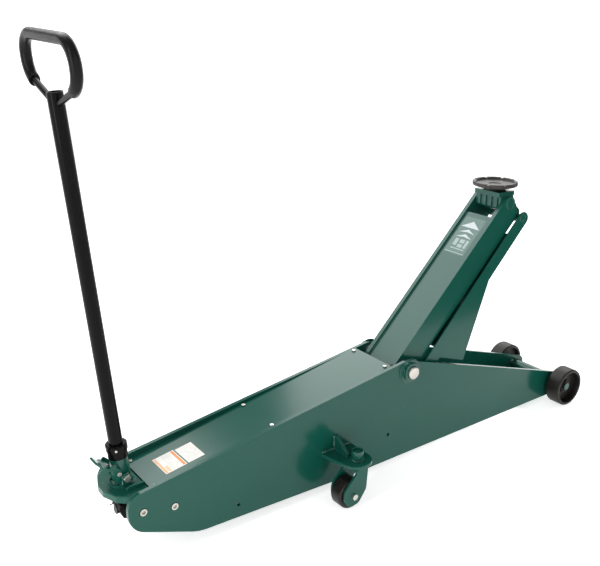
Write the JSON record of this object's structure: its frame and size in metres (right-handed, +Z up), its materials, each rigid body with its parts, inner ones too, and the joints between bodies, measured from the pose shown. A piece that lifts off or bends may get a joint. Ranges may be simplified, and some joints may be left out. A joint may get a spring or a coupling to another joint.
{
  "type": "hydraulic trolley jack",
  "caption": "Long-chassis hydraulic trolley jack: lifting arm with levelled saddle, front rollers, swivel casters and a pump handle with a D grip.",
  "frame": {"origin": "floor level under the centre of the whole jack's footprint at its stored pose", "axes": "+X from the handle end towards the front rollers, +Y to the jack's left, +Z up"},
  "size_m": [1.5425, 0.378, 1.1254],
  "materials": {
    "green_paint": "dark green gloss enamel over plate, castings and welds",
    "zinc_steel": "zinc-plated bolts, screws and shaft ends",
    "steel": "machined steel pins, spacers and nut",
    "chrome_rod": "hard-chromed ground rod",
    "black_paint": "satin black enamel",
    "black_rubber": "matt black rubber sleeve",
    "wheel_iron": "dark cast iron with a smooth tread",
    "saddle_iron": "bare brown-grey cast iron",
    "caster_tread": "dark nylon roller",
    "label_white": null
  },
  "bodies": {
    "chassis": {"side_plate_right": "green_paint", "side_plate_left": "green_paint", "cover_plate": "green_paint", "cover_rails": "green_paint", "cover_screws": "zinc_steel", "cover_labels": "label_white", "front_cross_plate": "green_paint", "axle_housing": "green_paint", "front_axle": "green_paint", "axle_rings": "black_paint", "axle_spacers": "steel", "axle_lock_screws": "zinc_steel", "tie_bars": "steel", "pivot_shaft": "zinc_steel", "pivot_bosses": "green_paint", "pivot_spacers": "steel", "small_screws": "green_paint", "link_stub_pins": "steel", "caster_shelf_right": "green_paint", "caster_shelf_left": "green_paint", "caster_gussets": "green_paint", "caster_sleeves": "green_paint", "rear_tray": "green_paint", "hydraulic_block": "green_paint", "block_bolts": "zinc_steel", "pump_body": "black_paint", "pump_cotter": "zinc_steel", "cylinder_tube": "green_paint", "gland_nut": "steel", "socket_bolt": "zinc_steel"},
    "lift_arm": {"arm_plate_right": "green_paint", "arm_plate_left": "green_paint", "arm_top_plate": "green_paint", "arm_bottom_plate": "green_paint", "arm_hub": "steel", "arm_tip_pin": "green_paint", "arm_lobe_pin": "steel"},
    "level_link": {"link_channel": "green_paint", "link_top_pin": "green_paint"},
    "carrier": {"saddle_carrier": "green_paint"},
    "saddle_plate": {"saddle": "saddle_iron"},
    "ram": {"ram_rod": "chrome_rod", "crosshead": "green_paint"},
    "pump_socket": {"handle_socket": "green_paint", "pedal_pin": "zinc_steel"},
    "pedal": {"foot_pedal": "green_paint"},
    "handle": {"handle_tube": "black_paint", "handle_collar": "black_paint", "collar_screw": "zinc_steel", "grip_rod": "black_paint", "grip_sleeve": "black_rubber"},
    "plunger": {"pump_plunger": "chrome_rod"},
    "wheel_right": {"front_wheel_right": "wheel_iron"},
    "wheel_left": {"front_wheel_left": "wheel_iron"},
    "caster_right": {"caster_fork_right": "green_paint", "caster_axle_right": "zinc_steel"},
    "caster_left": {"caster_fork_left": "green_paint", "caster_axle_left": "zinc_steel"},
    "roller_right": {"caster_wheel_right": "caster_tread"},
    "roller_left": {"caster_wheel_left": "caster_tread"}
  },
  "joints": [
    {"name": "lift", "type": "hinge", "parent": "chassis", "child": "lift_arm", "pos_m": [0.09126, 0, 0.262], "axis": [0, -1, 0], "range_deg": [-61, 3]},
    {"name": "carrier_level", "type": "hinge", "parent": "lift_arm", "child": "carrier", "pos_m": [0.46398, 0, 0.65067], "axis": [0, -1, 0], "range_deg": [-3.1, 61.1]},
    {"name": "link_swing", "type": "hinge", "parent": "chassis", "child": "level_link", "pos_m": [0.13506, 0, 0.2173], "axis": [0, -1, 0], "range_deg": [-61.1, 3.1]},
    {"name": "saddle_turn", "type": "hinge", "parent": "carrier", "child": "saddle_plate", "pos_m": [0.46148, 0, 0.68067], "axis": [0, 0, 1], "continuous": true},
    {"name": "ram_slide", "type": "slide", "parent": "chassis", "child": "ram", "axis": [1, 0, 0], "range_m": [-0.13348, 0.00675]},
    {"name": "pump_stroke", "type": "hinge", "parent": "chassis", "child": "pump_socket", "pos_m": [-0.68234, 0, 0.202], "axis": [0, -1, 0], "range_deg": [0, 40]},
    {"name": "plunger_slide", "type": "slide", "parent": "chassis", "child": "plunger", "axis": [1, 0, 0], "range_m": [-0.0002, 0.03167]},
    {"name": "handle_twist", "type": "hinge", "parent": "pump_socket", "child": "handle", "pos_m": [-0.68234, 0, 0.202], "axis": [-0.0849, 0, 0.9964], "range_deg": [0, 90]},
    {"name": "pedal_press", "type": "hinge", "parent": "pump_socket", "child": "pedal", "pos_m": [-0.69634, 0, 0.213], "axis": [0, -1, 0], "range_deg": [0, 8], "stiffness_Nm_per_rad": 2, "springref_deg": -8.59},
    {"name": "front_roll_right", "type": "hinge", "parent": "chassis", "child": "wheel_right", "pos_m": [0.71426, -0.117, 0.057], "axis": [0, 1, 0], "continuous": true},
    {"name": "caster_swivel_right", "type": "hinge", "parent": "chassis", "child": "caster_right", "pos_m": [-0.13944, -0.153, 0.11], "axis": [0, 0, 1], "continuous": true},
    {"name": "caster_roll_right", "type": "hinge", "parent": "caster_right", "child": "roller_right", "pos_m": [-0.16944, -0.153, 0.0375], "axis": [0, 1, 0], "continuous": true},
    {"name": "front_roll_left", "type": "hinge", "parent": "chassis", "child": "wheel_left", "pos_m": [0.71426, 0.117, 0.057], "axis": [0, 1, 0], "continuous": true},
    {"name": "caster_swivel_left", "type": "hinge", "parent": "chassis", "child": "caster_left", "pos_m": [-0.13944, 0.153, 0.11], "axis": [0, 0, 1], "continuous": true},
    {"name": "caster_roll_left", "type": "hinge", "parent": "caster_left", "child": "roller_left", "pos_m": [-0.16944, 0.153, 0.0375], "axis": [0, 1, 0], "continuous": true}
  ],
  "couplings": [
    {"joint": "carrier_level", "follows": "lift", "ratio": -1},
    {"joint": "link_swing", "follows": "lift", "ratio": 1},
    {"joint": "ram_slide", "follows": "lift", "m_per_rad": 0.12519},
    {"joint": "plunger_slide", "follows": "pump_stroke", "m_per_rad": 0.045072}
  ]
}
